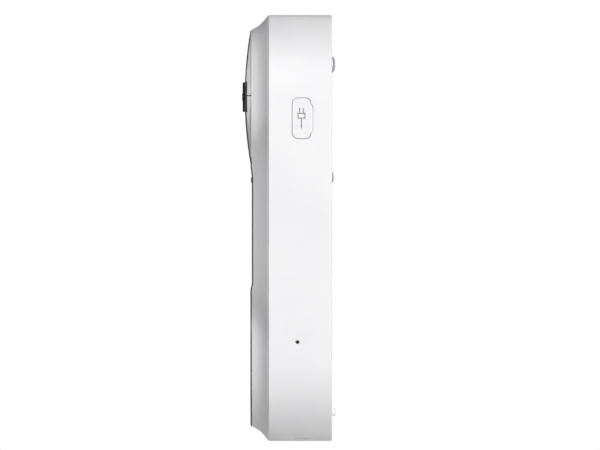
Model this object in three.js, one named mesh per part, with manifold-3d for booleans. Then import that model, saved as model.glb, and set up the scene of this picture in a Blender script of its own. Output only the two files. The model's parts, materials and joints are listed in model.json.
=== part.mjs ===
// Wired video doorbell: an upright round-ended body that hangs on a wall by its back face.
// Millimetres. X is the width, -Y is the front, +Z is up, and the origin is the centre of the back face.
import * as THREE from "three";
import { ParametricGeometry } from "three/addons/geometries/ParametricGeometry.js";
import { mergeVertices } from "three/addons/utils/BufferGeometryUtils.js";
import Module from "manifold-3d";

const wasm = await Module();
wasm.setup();

// Body
const HEIGHT = 124;
const HALF_WIDTH = 23.9;
const END_Z = HEIGHT / 2 - HALF_WIDTH;
const SIDE_DEPTH = 18.5;
const WALL = 2;
const PART_GAP = 0.1;
const BACK_Y = 0;

// Front shell: a hollow-ground rim rises from the side wall to the front plane.
const WAIST_FRONT_Y = -23.1;
const END_FRONT_Y = -23.4;
const PLATE_REACH = 19.6;
const NECK_DIP = 2.2;
const NECK_Z = 24;
const NECK_SPREAD = 8;
const WAIST_DIP = 0.4;
const SHELL_WALL = 1.4;
const INLAY_THICKNESS = 0.3;
const INLAY_RECESS = 0.4;
const RIM_TOP_STEP = 0.94;
const LOWER_FACE_TOP = 26;

// Camera dome, above, and bell pad, below
const DOME_EDGE_R = 18.4;
const DOME_BASE_R = 19.5;
const DOME_TOP_Y = -25.4;
const DOME_BASE_Y = -23.37;
const DOME_ROOT_Y = -22.3;
const DOME_RADIUS_Z = 101;
const DOME_RADIUS_X = 846;
const PAD_Y = -23.6;
const PAD_STEP_LOW = 15.9;
const PAD_STEP_HIGH = 18.2;

// Camera
const CAMERA_Z = 38.1;
const RING_R = 4.35;
const RING_HOLE_R = 4.6;
const RING_FRONT_Y = -26;
const LENS_R = 2.6;
const LENS_FRONT_Y = -26.2;
const BARREL_R = 4.1;
const TOWER_R = 8.4;
const LED_CIRCLE_R = 12.2;
const LED_R = 1.5;

// Bell button
const BUTTON_Z = -END_Z;
const BUTTON_R = 12.4;
const GUIDE_INNER_R = 12.7;
const GUIDE_OUTER_R = 14.3;

// Sensor window and microphone on the waist
const SENSOR_Z = 14;
const SENSOR_R = 0.95;
const MICROPHONE_X = -7;
const MICROPHONE_Z = 2;

// USB cover on the side wall
const USB_Y = -8.9;
const USB_Z = 31.8;
const USB_WIDTH = 5.3;
const USB_HEIGHT = 11.7;
const USB_PLATE = 1.1;
const USB_GAP = 0.15;
const RESET_Y = -10;
const RESET_Z = -33.2;

// Back: terminals, screws and pegs
const TERMINAL_X = 6.5;
const TERMINAL_Z = 47.6;
const TERMINAL_HEAD_R = 2.3;
const TERMINAL_PROUD = 1;
const CASE_SCREWS = [
  { x: -15, z: 14.7, proud: 0.55 },
  { x: 15, z: 14.7, proud: 0.55 },
  { x: -16, z: -41, proud: -0.4 },
  { x: 16, z: -41, proud: -0.4 },
];
const CASE_HEAD_R = 1.6;
const WALL_SCREW_Z = [56.2, -54.5];
const WALL_SCREW_R = 2;
const WALL_BOSS_R = 3.4;
const PEG_X = 9;
const PEG_Z = -53.6;

// Inner layers, from the wall outwards
const FLOOR_Y = -WALL;
const POWER_BOARD_Y = -6;
const MAIN_BOARD_Y = -12;
const BOARD_THICKNESS = 1.2;
const FRAME_BACK_Y = -15.6;
const FRAME_FRONT_Y = -17.6;
const BOARD_INSET = 3.6;

const COLOURS = {
  shell: { color: 0xf4f4f5, roughness: 0.42, metalness: 0 },
  face: { color: 0x6f7073, roughness: 0.3, metalness: 0 },
  black: { color: 0x161518, roughness: 0.4, metalness: 0 },
  glass: { color: 0x2b2c33, roughness: 0.08, metalness: 0 },
  clear: { color: 0xd9e2e6, roughness: 0.25, metalness: 0 },
  rubber: { color: 0xededee, roughness: 0.7, metalness: 0 },
  darkRubber: { color: 0x2a2a2c, roughness: 0.85, metalness: 0 },
  board: { color: 0x1f5c3a, roughness: 0.55, metalness: 0 },
  steel: { color: 0xaab3bd, roughness: 0.32, metalness: 1 },
  tin: { color: 0xc9ccd0, roughness: 0.4, metalness: 1 },
  copper: { color: 0xb0703a, roughness: 0.45, metalness: 1 },
  brass: { color: 0xc9a24a, roughness: 0.35, metalness: 1 },
  chip: { color: 0x232427, roughness: 0.6, metalness: 0 },
  olive: { color: 0x6a6a2c, roughness: 0.6, metalness: 0 },
};

const group = new THREE.Group();

// --- Solids ---------------------------------------------------------------

function signedVolume(positions, triangles) {
  const [a, b, c] = [new THREE.Vector3(), new THREE.Vector3(), new THREE.Vector3()];
  let volume = 0;
  for (let i = 0; i < triangles.length; i += 3) {
    a.fromArray(positions, 3 * triangles[i]);
    b.fromArray(positions, 3 * triangles[i + 1]);
    c.fromArray(positions, 3 * triangles[i + 2]);
    volume += a.dot(b.cross(c)) / 6;
  }
  return volume;
}

// Joins the shared vertices, drops the triangles that this flattens, and turns the faces outwards.
function solid(geometry) {
  const bare = geometry.clone();
  bare.deleteAttribute("normal");
  bare.deleteAttribute("uv");
  const merged = mergeVertices(bare, 1e-4);
  const positions = merged.attributes.position.array;
  const index = merged.index.array;
  const triangles = [];
  for (let i = 0; i < index.length; i += 3) {
    const [a, b, c] = index.slice(i, i + 3);
    if (a !== b && b !== c && c !== a) triangles.push(a, b, c);
  }
  if (signedVolume(positions, triangles) < 0) triangles.reverse();
  const triVerts = new Uint32Array(triangles);
  return new wasm.Manifold(new wasm.Mesh({ numProp: 3, vertProperties: positions, triVerts }));
}

function join(first, ...others) {
  return others.reduce((whole, other) => whole.add(other), first);
}

function cut(first, ...others) {
  return others.reduce((whole, other) => whole.subtract(other), first);
}

function add(name, shape, look) {
  const mesh = shape.getMesh();
  const geometry = new THREE.BufferGeometry();
  geometry.setAttribute("position", new THREE.BufferAttribute(mesh.vertProperties, 3));
  geometry.setIndex(new THREE.BufferAttribute(mesh.triVerts, 1));
  geometry.computeVertexNormals();
  const part = new THREE.Mesh(geometry, new THREE.MeshStandardMaterial(COLOURS[look]));
  part.name = name;
  group.add(part);
}

function box([x0, x1], [y0, y1], [z0, z1]) {
  const geometry = new THREE.BoxGeometry(x1 - x0, y1 - y0, z1 - z0);
  return solid(geometry.translate((x0 + x1) / 2, (y0 + y1) / 2, (z0 + z1) / 2));
}

function rodY(x, z, radius, y0, y1, sides = 16) {
  const geometry = new THREE.CylinderGeometry(radius, radius, Math.abs(y1 - y0), sides);
  return solid(geometry.translate(x, (y0 + y1) / 2, z));
}

function rodX(y, z, radius, x0, x1, sides = 12) {
  const geometry = new THREE.CylinderGeometry(radius, radius, Math.abs(x1 - x0), sides);
  geometry.rotateZ(Math.PI / 2);
  return solid(geometry.translate((x0 + x1) / 2, y, z));
}

// A profile of [radius, y] points turned about an axis along Y through (x, z)
function turned(profile, x, z, sides = 20) {
  const points = profile.map(([radius, y]) => new THREE.Vector2(radius, y));
  return solid(new THREE.LatheGeometry(points, sides).translate(x, 0, z));
}

// A tube along Y: the profile closes on itself
function tubeY(x, z, inner, outer, y0, y1, sides = 20) {
  return turned([[inner, y0], [outer, y0], [outer, y1], [inner, y1], [inner, y0]], x, z, sides);
}

// Extrudes an outline drawn in (x, z) from y0 forward to y1
function slab(shape, y0, y1, curveSegments = 12) {
  const options = { depth: y0 - y1, bevelEnabled: false, curveSegments };
  const geometry = new THREE.ExtrudeGeometry(shape, options);
  return solid(geometry.rotateX(Math.PI / 2).translate(0, y0, 0));
}

function pill(inset) {
  const radius = HALF_WIDTH - inset;
  const shape = new THREE.Shape();
  shape.moveTo(radius, -END_Z);
  shape.lineTo(radius, END_Z);
  shape.absarc(0, END_Z, radius, 0, Math.PI);
  shape.lineTo(-radius, -END_Z);
  shape.absarc(0, -END_Z, radius, Math.PI, 2 * Math.PI);
  return shape;
}

// A rounded plate standing on edge: width along Y, height along Z, thickness along X
function sidePlate(centreY, centreZ, width, height, radius, x0, x1) {
  const shape = new THREE.Shape();
  const [y, z] = [width / 2, height / 2];
  shape.moveTo(y, -z + radius);
  shape.absarc(y - radius, z - radius, radius, 0, Math.PI / 2);
  shape.absarc(-y + radius, z - radius, radius, Math.PI / 2, Math.PI);
  shape.absarc(-y + radius, -z + radius, radius, Math.PI, 1.5 * Math.PI);
  shape.absarc(y - radius, -z + radius, radius, 1.5 * Math.PI, 2 * Math.PI);
  const options = { depth: x1 - x0, bevelEnabled: false, curveSegments: 4 };
  const geometry = new THREE.ExtrudeGeometry(shape, options);
  // The outline's plane turns from (x, y) to (y, z), and its depth runs along +X.
  geometry.rotateX(Math.PI / 2).rotateZ(Math.PI / 2);
  return solid(geometry.translate(x0, centreY, centreZ));
}

// --- Front surface --------------------------------------------------------

function smoothstep(low, high, value) {
  const t = THREE.MathUtils.clamp((value - low) / (high - low), 0, 1);
  return t * t * (3 - 2 * t);
}

// Stations around the outline: a spine point and the direction from it to the edge.
// Heights are close together where the front steps down to the waist.
const SIDE_HEIGHTS = [-END_Z, -32, -27, -23, -20, -18.2, -17, -15.9, -10, 0, 10, 15, 18, 21, 24, 26, 29, 33];
const COARSE_HEIGHTS = [-END_Z, -24, -15, 0, 15, 24];

function outlineStations(heights, arcSteps) {
  const right = heights.map((spineZ) => ({ spineZ, x: 1, z: 0 }));
  const left = [END_Z, ...heights.slice(1).reverse()].map((spineZ) => ({ spineZ, x: -1, z: 0 }));
  const arc = (end) => Array.from({ length: arcSteps }, (_, i) => {
    const angle = Math.PI * i / arcSteps;
    return { spineZ: end * END_Z, x: end * Math.cos(angle), z: end * Math.sin(angle) };
  });
  return [...right, ...arc(1), ...left.slice(1), ...arc(-1)];
}

const FINE = outlineStations(SIDE_HEIGHTS, 14);
const COARSE = outlineStations(COARSE_HEIGHTS, 8);

// Each row gives [reach from the spine, y] at a station; the first and last rows close on the spine.
function loft(rows, stations) {
  const surface = (u, v, target) => {
    const station = stations[Math.round(u * stations.length) % stations.length];
    const [reach, y] = rows[Math.round(v * (rows.length - 1))](station);
    target.set(station.x * reach, y, station.spineZ + station.z * reach);
  };
  return solid(new ParametricGeometry(surface, stations.length, rows.length - 1));
}

function plateReach({ spineZ }) {
  const height = Math.abs(spineZ);
  const neck = NECK_DIP * Math.exp(-(((height - NECK_Z) / NECK_SPREAD) ** 2));
  const waist = WAIST_DIP * (1 - smoothstep(8, NECK_Z, height));
  const end = smoothstep(NECK_Z, END_Z, height);
  return PLATE_REACH - neck * (1 - end) - waist;
}

function plateY({ spineZ }) {
  const top = smoothstep(16, 24, spineZ) * (END_FRONT_Y - WAIST_FRONT_Y);
  const bottom = smoothstep(PAD_STEP_LOW, PAD_STEP_HIGH, -spineZ) * (PAD_Y - WAIST_FRONT_Y);
  return WAIST_FRONT_Y + top + bottom;
}

// The rim's hollow is deeper at the two ends than at the waist.
function hollow({ spineZ }) {
  return 0.15 + 0.25 * smoothstep(20, 32, Math.abs(spineZ));
}

function rimRow(step, inset, drop) {
  return (station) => {
    const [edge, depth] = [plateReach(station), plateY(station) + SIDE_DEPTH];
    const reach = THREE.MathUtils.lerp(HALF_WIDTH, edge, step) - inset;
    const rise = step + hollow(station) * step * (step - 1);
    return [reach, -SIDE_DEPTH + depth * rise + drop];
  };
}

// The seat for the lower face's inlay is sunk, and fades out beside the dome.
function seatY(station) {
  return plateY(station) + INLAY_RECESS * smoothstep(LOWER_FACE_TOP + 3, LOWER_FACE_TOP, station.spineZ);
}

function frontRim() {
  const rows = [() => [0, -SIDE_DEPTH], () => [HALF_WIDTH, -SIDE_DEPTH]];
  for (const step of [0.25, 0.5, 0.75, RIM_TOP_STEP]) rows.push(rimRow(step, 0, 0));
  rows.push((station) => [plateReach(station) + 0.05, seatY(station)], (station) => [0, seatY(station)]);
  return loft(rows, FINE);
}

function shellCavity() {
  const inset = SHELL_WALL + 0.4;
  const rows = [() => [0, -SIDE_DEPTH + 1], () => [HALF_WIDTH - inset, -SIDE_DEPTH + 1]];
  for (const step of [0, 0.4, 1]) rows.push(rimRow(step, inset, SHELL_WALL + 0.1));
  rows.push((station) => [0, plateY(station) + SHELL_WALL + 0.1]);
  return loft(rows, COARSE);
}

function domeY(x, z) {
  return DOME_TOP_Y + z * z / (2 * DOME_RADIUS_Z) + x * x / (2 * DOME_RADIUS_X);
}

// A round plate with the dome's curve: rings from its middle to its edge
function domeRings(edge, drop) {
  return [0, 0.4, 0.75, 1].map((t) => (c, s) => [edge * t, domeY(edge * t * c, edge * t * s) + drop]);
}

function ringLoft(rings) {
  const surface = (u, v, target) => {
    const [c, s] = [Math.cos(2 * Math.PI * u), Math.sin(2 * Math.PI * u)];
    const [reach, y] = rings[Math.round(v * (rings.length - 1))](c, s);
    target.set(reach * c, y, CAMERA_Z + reach * s);
  };
  return solid(new ParametricGeometry(surface, 36, rings.length - 1));
}

// The camera dome: a seat for its inlay, on a small hollow-ground flank
function dome() {
  const flank = [0.5, 1].map((t) => (c, s) => {
    const top = domeY(DOME_EDGE_R * c, DOME_EDGE_R * s);
    const fall = 1.4 * t - 0.4 * t * t;
    return [THREE.MathUtils.lerp(DOME_EDGE_R, DOME_BASE_R, t), THREE.MathUtils.lerp(top, DOME_BASE_Y, fall)];
  });
  const root = [() => [DOME_BASE_R, DOME_ROOT_Y], () => [0, DOME_ROOT_Y]];
  return ringLoft([...domeRings(DOME_EDGE_R, INLAY_RECESS), ...flank, ...root]);
}

function cameraFace() {
  const edge = DOME_EDGE_R - 0.1;
  return ringLoft([...domeRings(edge, 0), ...domeRings(edge, INLAY_THICKNESS).reverse()]);
}

function lowerFace() {
  const edge = (station) => plateReach(station) - 0.05;
  const back = (station) => plateY(station) + INLAY_THICKNESS;
  const rows = [(s) => [0, back(s)], (s) => [edge(s), back(s)], (s) => [edge(s), plateY(s)], (s) => [0, plateY(s)]];
  const room = box([-HALF_WIDTH, HALF_WIDTH], [-30, -15], [-HEIGHT, LOWER_FACE_TOP]);
  const domeRoom = rodY(0, CAMERA_Z, DOME_BASE_R + 0.45, -15, -30, 36);
  return cut(loft(rows, FINE).intersect(room), domeRoom);
}

// --- Shells ---------------------------------------------------------------

function wallBosses() {
  return WALL_SCREW_Z.map((z) => rodY(0, z, WALL_BOSS_R, FLOOR_Y + 0.5, FRAME_BACK_Y + 0.3));
}

function wallHoles() {
  return WALL_SCREW_Z.map((z) => rodY(0, z, WALL_SCREW_R, 1, -30));
}

function caseBosses() {
  return CASE_SCREWS.map(({ x, z }) => rodY(x, z, 2.9, FLOOR_Y + 0.5, FRAME_BACK_Y + 0.3, 12));
}

function caseHoles() {
  return CASE_SCREWS.map(({ x, z, proud }) => {
    const head = rodY(x, z, CASE_HEAD_R + 0.3, 1, proud - 1.4, 16);
    return join(head, rodY(x, z, 1.15, 0, FRAME_BACK_Y - 0.5, 16));
  });
}

function usbRecess() {
  const size = [USB_WIDTH + 2 * USB_GAP, USB_HEIGHT + 2 * USB_GAP];
  const seat = sidePlate(USB_Y, USB_Z, ...size, 1.5, HALF_WIDTH - USB_PLATE - USB_GAP, HALF_WIDTH + 1);
  const window = sidePlate(USB_Y - 0.1, USB_Z, 3.9, 9.2, 0.6, HALF_WIDTH - WALL - 1, HALF_WIDTH);
  // A fingernail groove runs along the cover's rear edge.
  const edgeY = USB_Y + USB_WIDTH / 2;
  const groove = box([HALF_WIDTH - 0.5, HALF_WIDTH + 1], [edgeY, edgeY + 0.6], [USB_Z - 4, USB_Z + 4]);
  return [seat, window, groove];
}

function soundSlots() {
  return [-6, -3, 0, 3, 6].map((x) => box([x - 0.6, x + 0.6], [-11.5, -6.5], [-HEIGHT / 2 - 1, -58.6]));
}

function rearHousing() {
  const tub = cut(slab(pill(0), BACK_Y, -SIDE_DEPTH + PART_GAP, 16), slab(pill(WALL), FLOOR_Y, -20));
  const whole = join(tub, ...wallBosses(), ...caseBosses());
  const wireWindow = box([-12, 12], [-2.5, 1], [TERMINAL_Z - 4, TERMINAL_Z + 4]);
  const pegs = [-PEG_X, PEG_X].map((x) => box([x - 1.4, x + 1.4], [-1, 1.1], [PEG_Z - 1, PEG_Z + 1]));
  const reset = rodX(RESET_Y, RESET_Z, 0.55, HALF_WIDTH - WALL - 1, HALF_WIDTH + 1);
  const holes = [...wallHoles(), ...caseHoles(), wireWindow, ...usbRecess(), reset, ...soundSlots()];
  add("rear_housing", join(cut(whole, ...holes), ...pegs), "shell");
}

function sealRing() {
  const ring = cut(slab(pill(WALL + 0.2), FRAME_FRONT_Y - 0.1, -SIDE_DEPTH + 0.2), slab(pill(WALL + 1.1), 0, -20));
  add("housing_seal", ring, "darkRubber");
}

function frontFrame() {
  const plate = slab(pill(WALL + 0.25), FRAME_BACK_Y, FRAME_FRONT_Y);
  const tower = rodY(0, CAMERA_Z, TOWER_R, FRAME_BACK_Y, -21.8, 28);
  const collar = rodY(0, BUTTON_Z, GUIDE_OUTER_R + 1.6, FRAME_BACK_Y, -20.4, 32);
  const holes = [
    rodY(0, CAMERA_Z, 6.4, 0, -30, 28),
    rodY(0, BUTTON_Z, GUIDE_OUTER_R + 0.15, -18.5, -30, 32),
    rodY(0, BUTTON_Z, GUIDE_INNER_R - 1.5, 0, -30, 32),
    rodY(0, SENSOR_Z, 3.2, 0, -30),
    rodY(MICROPHONE_X, MICROPHONE_Z, 2.6, 0, -30),
    ...wallHoles(),
  ];
  const pilots = CASE_SCREWS.map(({ x, z }) => rodY(x, z, 1.05, 0, FRAME_FRONT_Y + 0.5, 16));
  const screwPosts = WALL_SCREW_Z.map((z) => rodY(0, z, WALL_BOSS_R, FRAME_BACK_Y, FRAME_FRONT_Y));
  add("front_frame", cut(join(plate, tower, collar, ...screwPosts), ...holes, ...pilots), "black");
}

function faceplate() {
  const domeCavity = rodY(0, CAMERA_Z, TOWER_R + 5.5, -20, -23.4, 28);
  const holes = [
    rodY(0, CAMERA_Z, RING_HOLE_R, 0, -40, 28),
    rodY(0, BUTTON_Z, GUIDE_OUTER_R + 0.25, 0, -40, 40),
    rodY(0, SENSOR_Z, SENSOR_R + 0.2, 0, -40, 12),
    rodY(MICROPHONE_X, MICROPHONE_Z, 0.5, 0, -40, 8),
  ];
  add("faceplate", cut(join(frontRim(), dome()), shellCavity(), domeCavity, ...holes), "shell");
  add("camera_face", cut(cameraFace(), holes[0]), "face");
  add("lower_face", cut(lowerFace(), ...holes.slice(1)), "face");
}

// --- Camera ---------------------------------------------------------------

function cameraRing() {
  const inner = LENS_R + 0.15;
  const profile = [
    [inner, -24.4], [RING_R, -24.4], [RING_R, RING_FRONT_Y + 0.2], [RING_R - 0.2, RING_FRONT_Y],
    [inner + 0.5, RING_FRONT_Y], [inner, RING_FRONT_Y + 0.5], [inner, -24.4],
  ];
  add("camera_ring", turned(profile, 0, CAMERA_Z, 28), "black");
}

function lenses() {
  const front = [[0, -24.5], [LENS_R, -24.5], [LENS_R, -25.6], [2.1, -25.95], [1.2, -26.13], [0, LENS_FRONT_Y]];
  add("front_lens", turned(front, 0, CAMERA_Z), "glass");
  const barrel = tubeY(0, CAMERA_Z, 3.1, BARREL_R, -24.2, -15.2);
  const shelf = tubeY(0, CAMERA_Z, 1.9, 3.4, -20.6, -19.6);
  add("lens_barrel", join(barrel, shelf), "black");
  const rear = [[0, -17.4], [2.9, -17.8], [2.9, -19.2], [0, -19.4]];
  add("inner_lens", turned(rear, 0, CAMERA_Z, 16), "glass");
  add("middle_lens", turned([[0, -20.9], [2.9, -21], [2.9, -22.6], [0, -23.2]], 0, CAMERA_Z, 16), "glass");
}

function lensHolder() {
  const block = box([-9.6, 6], [-14.9, -12.2], [CAMERA_Z - 6, CAMERA_Z + 6]);
  const tube = tubeY(0, CAMERA_Z, BARREL_R + 0.15, BARREL_R + 1.3, -19.5, -14.4);
  const well = box([-5, 5], [-13.6, -12], [CAMERA_Z - 5, CAMERA_Z + 5]);
  const filterSlot = box([-8.8, 7], [-13.6, -12], [CAMERA_Z - 3.3, CAMERA_Z + 3.3]);
  const aperture = rodY(0, CAMERA_Z, 2.2, 0, -15);
  add("lens_holder", cut(join(block, tube), well, filterSlot, aperture), "black");
}

// The infrared-cut filter slides aside at night, pulled by a small coil.
function filterShuttle() {
  const [y0, y1] = [-13.4, -12.8];
  const frame = box([-2.9, 5.6], [y0, y1], [CAMERA_Z - 2.9, CAMERA_Z + 2.9]);
  const opening = rodY(0, CAMERA_Z, 2.1, -12, -14);
  add("filter_shuttle", cut(frame, opening), "tin");
  add("infrared_filter", rodY(0, CAMERA_Z, 2, y0 + 0.1, y1 - 0.1), "glass");
  const bobbin = box([7.2, 10.6], [-14.4, -12.4], [CAMERA_Z - 4, CAMERA_Z + 4]);
  add("filter_coil", bobbin, "copper");
}

function cameraBoard() {
  const y = -11.8;
  add("camera_board", box([-11.5, 11.5], [y - 0.1, y + 0.7], [CAMERA_Z - 7, CAMERA_Z + 7]), "board");
  add("image_sensor", box([-3.5, 3.5], [-12.6, -12], [CAMERA_Z - 3, CAMERA_Z + 3]), "chip");
}

function nightLamps() {
  const ring = tubeY(0, CAMERA_Z, TOWER_R + 0.3, 14, -18.8, -17.9, 28);
  add("lamp_board", ring, "board");
  for (let i = 0; i < 4; i += 1) {
    const angle = Math.PI / 4 + i * Math.PI / 2;
    const [x, z] = [LED_CIRCLE_R * Math.cos(angle), CAMERA_Z + LED_CIRCLE_R * Math.sin(angle)];
    const profile = [[0, -19], [LED_R, -19], [LED_R, -20.4], [LED_R * 0.7, -21.3], [0, -21.6]];
    add(`infrared_lamp_${i + 1}`, turned(profile, x, z, 12), "clear");
  }
}

// --- Waist: light sensor and microphone -------------------------------------

function sensorAndMicrophone() {
  const light = [[0, -18.2], [2.4, -18.2], [2.4, -19.2], [SENSOR_R, -19.2], [SENSOR_R, -23.3], [0.5, -23.6], [0, -23.62]];
  add("light_sensor_lens", turned(light, 0, SENSOR_Z, 20), "glass");
  const [x, z] = [MICROPHONE_X, MICROPHONE_Z];
  add("microphone", rodY(x, z, 2, MAIN_BOARD_Y - 3.4, MAIN_BOARD_Y - BOARD_THICKNESS - 0.2, 20), "tin");
  const gasket = tubeY(x, z, 0.8, 2.3, -21.4, MAIN_BOARD_Y - 3.7, 20);
  add("microphone_gasket", gasket, "darkRubber");
}

// --- Bell button ------------------------------------------------------------

function bellButton() {
  const front = PAD_Y + 0.05;
  const cap = turned([
    [0, front + 1.6], [BUTTON_R - 1.2, front + 1.6], [BUTTON_R - 1.2, -19.6], [BUTTON_R, -19.6],
    [BUTTON_R, front + 0.4], [BUTTON_R - 0.4, front + 0.1], [7, front + 0.3], [0, front + 0.45],
  ], 0, BUTTON_Z, 32);
  const post = rodY(0, BUTTON_Z, 2, front + 1, -17.2);
  const shoulder = rodY(0, BUTTON_Z, 3.4, front + 1, -18.85);
  add("bell_button", join(cap, post, shoulder), "shell");
  const y = -18.7;
  const guide = [
    [GUIDE_INNER_R, y], [GUIDE_OUTER_R, y], [GUIDE_OUTER_R, PAD_Y + 0.2],
    [GUIDE_OUTER_R - 0.3, PAD_Y], [GUIDE_INNER_R, PAD_Y + 0.2], [GUIDE_INNER_R, y],
  ];
  add("light_ring", turned(guide, 0, BUTTON_Z, 32), "clear");
  add("button_switch", cut(box([-3, 3], [-15.6, -13.4], [BUTTON_Z - 3, BUTTON_Z + 3]), rodY(0, BUTTON_Z, 1.75, -14.2, -17)), "chip");
  add("switch_plunger", rodY(0, BUTTON_Z, 1.5, -14.9, -17.1, 20), "black");
  add("button_spring", buttonSpring(), "steel");
}

// A flat three-armed leaf spring between the frame's collar and the button's back
function buttonSpring() {
  const rim = tubeY(0, BUTTON_Z, 9.4, 10.9, -18.2, -17.9, 36);
  const hub = tubeY(0, BUTTON_Z, 2.4, 4, -18.2, -17.9, 24);
  const arms = [0, 1, 2].map((i) => {
    const arm = new THREE.BoxGeometry(6.6, 0.3, 1.2).translate(6.8, -18.05, 0);
    return solid(arm.rotateY(i * 2 * Math.PI / 3).translate(0, 0, BUTTON_Z));
  });
  return join(rim, hub, ...arms);
}

// --- Side: USB cover and reset -----------------------------------------------

function usbCover() {
  const plate = sidePlate(USB_Y, USB_Z, USB_WIDTH, USB_HEIGHT, 1.4, HALF_WIDTH - USB_PLATE, HALF_WIDTH);
  const plug = sidePlate(USB_Y - 0.4, USB_Z, 2.2, 7, 0.5, HALF_WIDTH - 2.4, HALF_WIDTH - 0.5);
  add("usb_cover", join(plate, plug), "rubber");
  const socket = cut(
    sidePlate(USB_Y, USB_Z, 2.9, 7.8, 0.5, HALF_WIDTH - 8.5, HALF_WIDTH - 3),
    sidePlate(USB_Y, USB_Z, 2.3, 7.2, 0.4, HALF_WIDTH - 8, HALF_WIDTH),
  );
  add("usb_socket", socket, "tin");
  add("usb_tongue", box([HALF_WIDTH - 7.7, HALF_WIDTH - 3.6], [USB_Y - 0.3, USB_Y + 0.3], [USB_Z - 2.6, USB_Z + 2.6]), "black");
}

function resetButton() {
  const rod = rodX(RESET_Y, RESET_Z, 0.9, HALF_WIDTH - 4.2, HALF_WIDTH - WALL - 0.15);
  add("reset_plunger", rod, "olive");
  const body = box([HALF_WIDTH - 7.4, HALF_WIDTH - 4], [RESET_Y - 1.8, RESET_Y + 1.8], [RESET_Z - 2, RESET_Z + 2]);
  add("reset_switch", cut(body, rodX(RESET_Y, RESET_Z, 1.1, HALF_WIDTH - 4.9, HALF_WIDTH)), "tin");
}

// --- Boards -------------------------------------------------------------------

function boardOutline(inset, top, bottom) {
  const slabBox = box([-HALF_WIDTH, HALF_WIDTH], [-30, 10], [bottom, top]);
  return (y) => slab(pill(inset), y, y - BOARD_THICKNESS).intersect(slabBox);
}

function screwClearance() {
  return [
    ...CASE_SCREWS.map(({ x, z }) => rodY(x, z, 3.3, 0, -16, 16)),
    ...WALL_SCREW_Z.map((z) => rodY(0, z, WALL_BOSS_R + 0.4, 0, -16, 20)),
  ];
}

function boards() {
  const main = boardOutline(BOARD_INSET, 29, -43)(MAIN_BOARD_Y);
  const notch = box([HALF_WIDTH - 8.9, HALF_WIDTH], [-16, 0], [RESET_Z - 2.4, RESET_Z + 2.4]);
  add("main_board", cut(main, ...screwClearance(), notch), "board");
  const power = boardOutline(BOARD_INSET, 42.5, -20)(POWER_BOARD_Y);
  add("power_board", cut(power, ...screwClearance()), "board");
  const y = MAIN_BOARD_Y - BOARD_THICKNESS - 0.2;
  add("processor_shield", box([-9, 9], [y - 1.6, y], [-14, -2]), "tin");
  add("memory_chip", box([-8, 2], [y - 1, y], [19, 26]), "chip");
  const under = MAIN_BOARD_Y + 0.2;
  add("board_connector", box([-8, 8], [under, POWER_BOARD_Y - BOARD_THICKNESS - 0.2], [20, 23]), "black");
  add("radio_antenna", box([-18, -14.5], [y - 0.6, y], [-14, 6]), "copper");
}

function powerParts() {
  const top = POWER_BOARD_Y - BOARD_THICKNESS - 0.2;
  const bottom = MAIN_BOARD_Y + 0.2;
  add("power_inductor", rodY(-8, 6, 4.6, top, bottom + 0.3, 20), "copper");
  [[9, 8], [9, -4]].forEach(([x, z], i) => {
    add(`capacitor_${i + 1}`, rodY(x, z, 3.2, top, bottom + 0.4, 20), "tin");
  });
  add("bridge_rectifier", box([-11, -4], [top - 2.4, top], [-14, -7]), "chip");
}

// --- Speaker ------------------------------------------------------------------

function speaker() {
  const [y0, y1] = [-13.4, -4.4];
  const floor = -49.4;
  const frame = cut(
    box([-12, 12], [y0, y1], [floor, floor + 5.2]),
    box([-10.8, 10.8], [y0 + 1.2, y1 - 1.2], [floor - 1, floor + 4]),
  );
  add("speaker_frame", frame, "black");
  add("speaker_magnet", box([-6, 6], [y0 + 2.4, y1 - 2.4], [floor + 1.8, floor + 3.7]), "steel");
  const cone = box([-10.4, 10.4], [y0 + 1.6, y1 - 1.6], [floor + 0.7, floor + 1.2]);
  add("speaker_cone", cone, "chip");
}

// --- Terminals ------------------------------------------------------------------

function terminals() {
  const [back, front] = [-4.2, -9.6];
  const block = box([-11.6, 11.6], [front, back], [TERMINAL_Z - 3.7, TERMINAL_Z + 3.7]);
  const plates = [-TERMINAL_X, TERMINAL_X];
  const pits = plates.map((x) => rodY(x, TERMINAL_Z, 1.7, 0, -9));
  add("terminal_block", cut(block, ...pits), "black");
  plates.forEach((x, i) => {
    const name = `${i + 1}`;
    const plate = cut(box([x - 3.2, x + 3.2], [-3.9, -2.9], [TERMINAL_Z - 3, TERMINAL_Z + 3]), rodY(x, TERMINAL_Z, 1.6, 0, -9));
    add(`terminal_plate_${name}`, plate, "brass");
    const clamp = cut(box([x - 2.8, x + 2.8], [-1.8, -1], [TERMINAL_Z - 2.8, TERMINAL_Z + 2.8]), rodY(x, TERMINAL_Z, 1.6, 0, -9));
    add(`terminal_clamp_${name}`, clamp, "brass");
    add(`terminal_screw_${name}`, terminalScrew(x), "steel");
  });
}

function terminalScrew(x) {
  const profile = [
    [0, -7.5], [1.4, -7.2], [1.4, -0.7], [TERMINAL_HEAD_R, -0.7], [TERMINAL_HEAD_R, 0.1],
    [2, 0.55], [1.3, 0.88], [0, TERMINAL_PROUD],
  ];
  const slots = [[2.6, 0.5], [0.5, 2.6]].map(([w, h]) => {
    return box([x - w / 2, x + w / 2], [0.1, 2], [TERMINAL_Z - h / 2, TERMINAL_Z + h / 2]);
  });
  return cut(turned(profile, x, TERMINAL_Z, 16), ...slots);
}

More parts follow.
